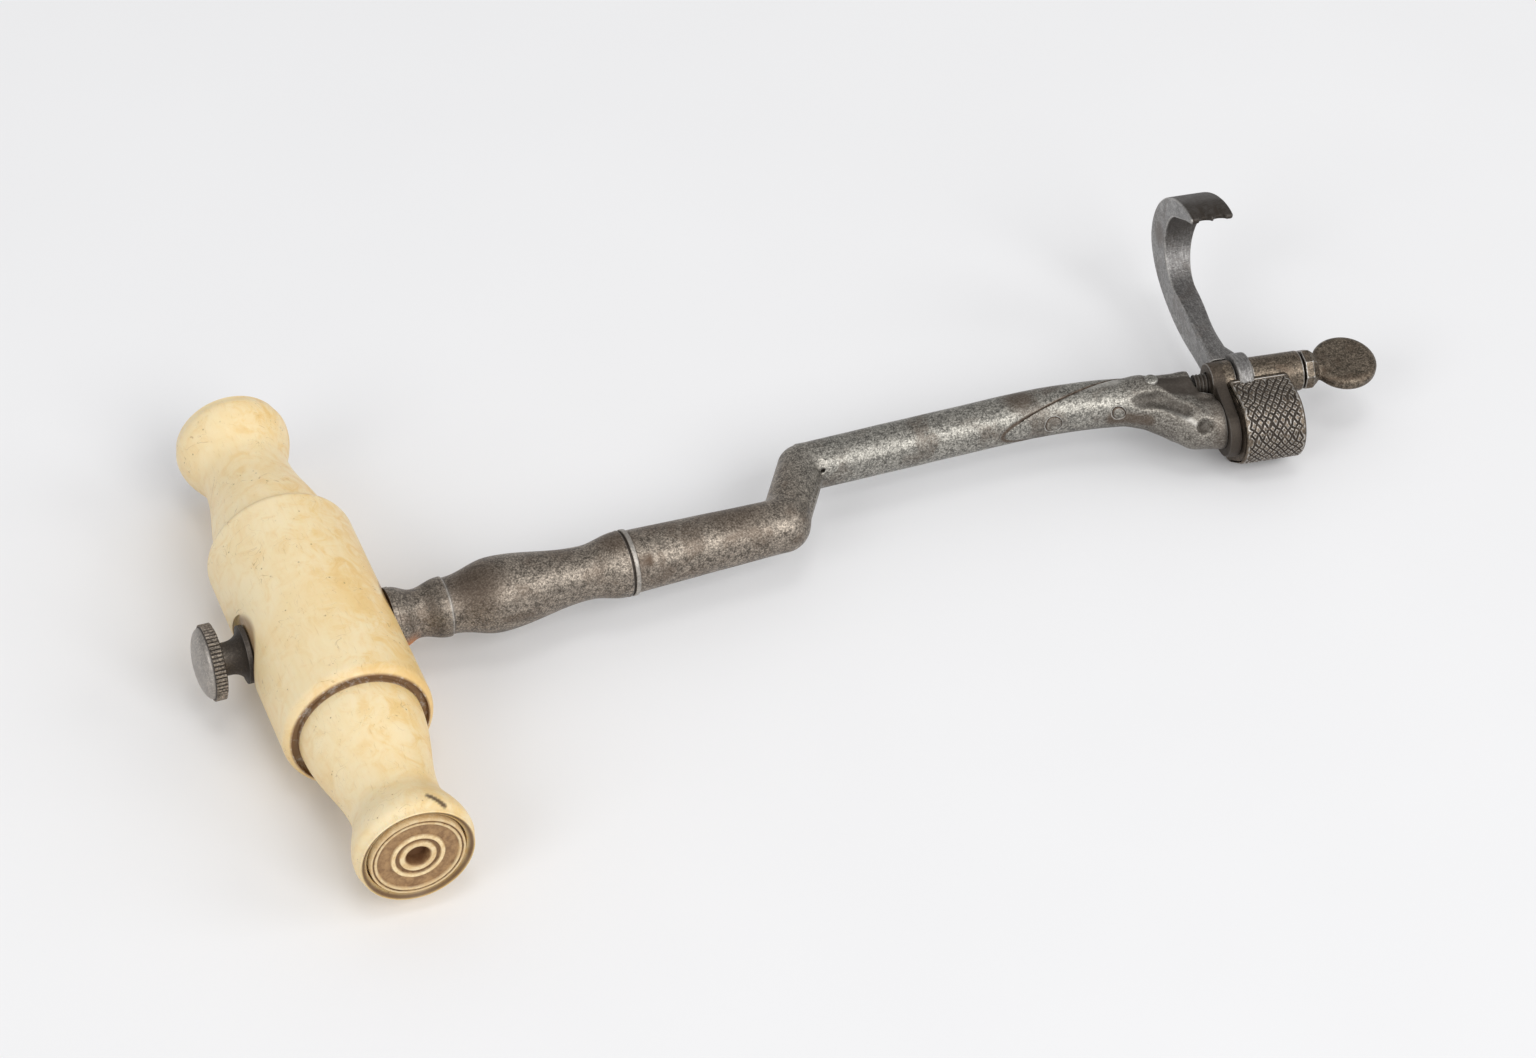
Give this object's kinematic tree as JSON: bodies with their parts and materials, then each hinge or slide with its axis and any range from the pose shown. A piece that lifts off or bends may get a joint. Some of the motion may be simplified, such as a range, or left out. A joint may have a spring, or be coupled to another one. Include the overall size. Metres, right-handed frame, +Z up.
{
  "type": "dental key",
  "caption": "T-shaped dental extraction key: bone cross handle, cranked steel shank, padded bolster and a swinging toothed claw held by a thumb screw.",
  "frame": {"origin": "middle of the bounding box, on the table under the handle's barrel and the pad's heel", "axes": "+X from the handle along the shank to the claw, +Y along the handle, +Z up from the table"},
  "size_m": [0.1656, 0.08, 0.0256],
  "materials": {
    "bone": "turned and polished bone, yellowed, with fine specks and stained grooves",
    "stained_bone": "turned bone disc, brown in its rings",
    "dark_steel": "old hand-forged steel, mottled dark grey with worn bright edges",
    "brown_steel": "old steel with an even brown patina",
    "claw_steel": "filed steel, lighter grey, dull"
  },
  "bodies": {
    "key": {"handle_barrel": "bone", "grip_end_near": "bone", "grip_end_far": "bone", "end_plug_near": "stained_bone", "end_plug_far": "stained_bone", "shank": "dark_steel", "bit_arm": "dark_steel", "splice_rivet_large": "dark_steel", "splice_rivet_small": "dark_steel", "arm_pin": "dark_steel", "bolster": "brown_steel"},
    "claw": {"claw": "claw_steel"},
    "claw_screw": {"claw_screw": "brown_steel"},
    "thumb_screw": {"thumb_screw": "dark_steel"}
  },
  "joints": [
    {"name": "claw_swing", "type": "hinge", "parent": "key", "child": "claw", "pos_m": [0.06342, 0.0069, 0.0096], "axis": [0.9936, -0.1132, 0], "range_deg": [-45, 110]},
    {"name": "claw_screw_turn", "type": "hinge", "parent": "key", "child": "claw_screw", "pos_m": [0.06342, 0.0069, 0.0096], "axis": [0.9936, -0.1132, 0], "range_deg": [0, 1080]},
    {"name": "thumb_screw_turn", "type": "hinge", "parent": "key", "child": "thumb_screw", "pos_m": [-0.07598, 0, 0.0096], "axis": [-1, 0, 0], "range_deg": [0, 1080]}
  ]
}
